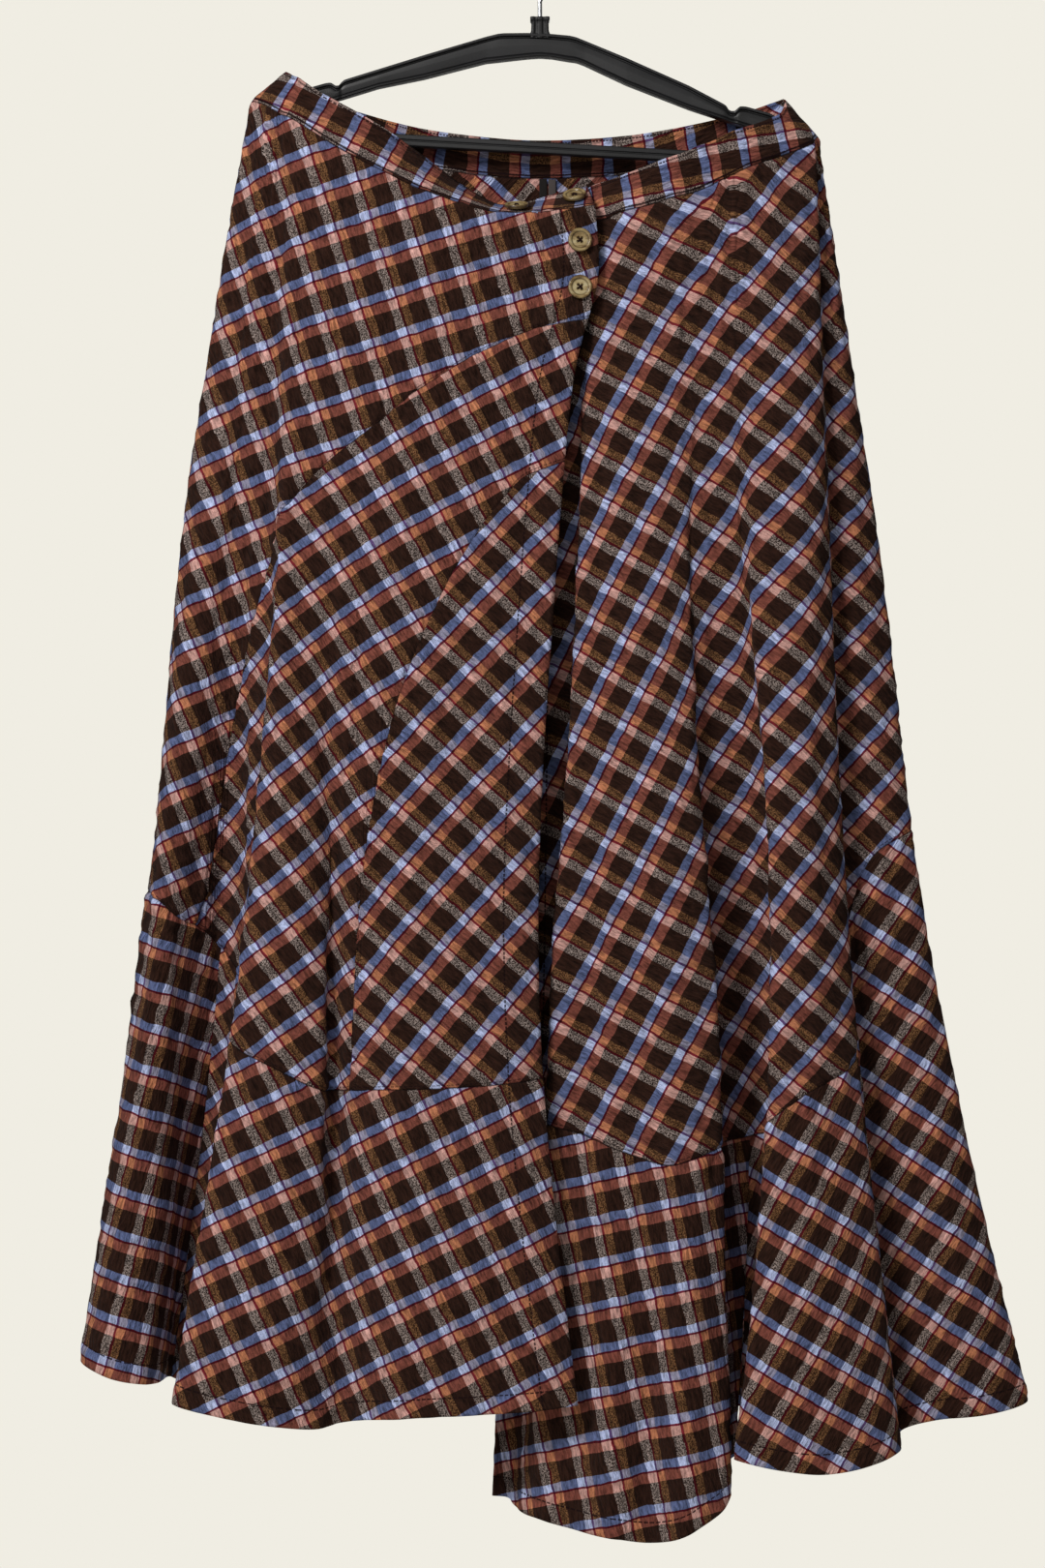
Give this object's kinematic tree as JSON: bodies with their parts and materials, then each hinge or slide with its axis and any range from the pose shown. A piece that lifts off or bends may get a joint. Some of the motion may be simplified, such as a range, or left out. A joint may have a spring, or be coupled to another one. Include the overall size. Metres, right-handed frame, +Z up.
{
  "type": "bias-cut maxi skirt on a plastic hanger",
  "caption": "Long wrap-front plaid skirt with shaped bias panels, a stepped flared flounce hem and buttons at the waist, hung by its waistband on a moulded hanger with a bar and a wire hook.",
  "frame": {"origin": "seat of the hanger's hook, the inner top of the wire where it rests on a rail", "axes": "+Z up; the skirt's front faces -Y; +X is towards the wearer's left"},
  "size_m": [0.7046, 0.1574, 1.1793],
  "materials": {
    "plaid": "crinkled woven plaid, dark brown with blue, rust, grey and ochre stripes, matte",
    "horn_button": "marbled horn look, satin",
    "label": "plain woven, matte",
    "hanger_plastic": "black, satin",
    "hook_wire": "bright drawn wire"
  },
  "bodies": {
    "root": {"waistband_right": "plaid", "waistband_back": "plaid", "waistband_left": "plaid", "right_yoke": "plaid", "crescent_panel": "plaid", "centre_panel": "plaid", "right_flounce_front": "plaid", "right_flounce_side": "plaid", "back_panel": "plaid", "back_flounce": "plaid", "left_front_panel": "plaid", "left_flounce_side": "plaid", "left_flounce_front": "plaid", "button_band": "horn_button", "button_band_inner": "horn_button", "button_upper": "horn_button", "button_lower": "horn_button", "label_brand": "label", "label_size": "label", "hanger_neck": "hanger_plastic", "hanger_arm_right": "hanger_plastic", "hanger_arm_left": "hanger_plastic", "hanger_bar": "hanger_plastic", "hanger_hook": "hook_wire"}
  },
  "joints": []
}
